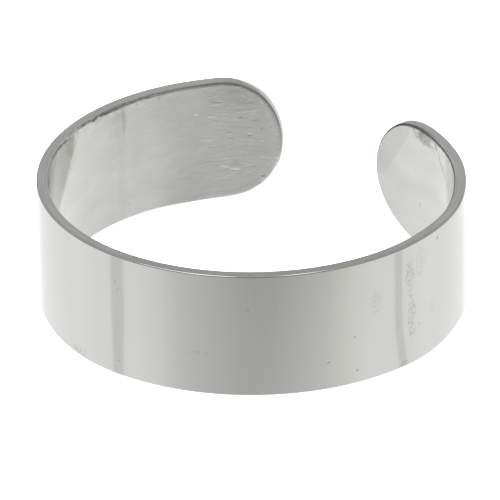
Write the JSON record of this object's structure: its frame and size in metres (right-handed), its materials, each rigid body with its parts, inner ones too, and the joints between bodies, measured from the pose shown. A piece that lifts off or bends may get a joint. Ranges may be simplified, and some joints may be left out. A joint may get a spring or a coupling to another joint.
{
  "type": "adjustable finger ring",
  "caption": "Open finger ring bent from one flat metal strip with round ends; the gap lets it be squeezed or spread to fit.",
  "frame": {"origin": "under the middle of the band's box, on the surface that the ring lies on", "axes": "+Z through the finger hole, -Y at the front of the band; the gap is at +Y, turned towards +X"},
  "size_m": [0.0194, 0.019, 0.006],
  "materials": {
    "steel": "bright rolled strip, soft polish, fine scratches along its length"
  },
  "bodies": {
    "root": {"band": "steel"}
  },
  "joints": []
}
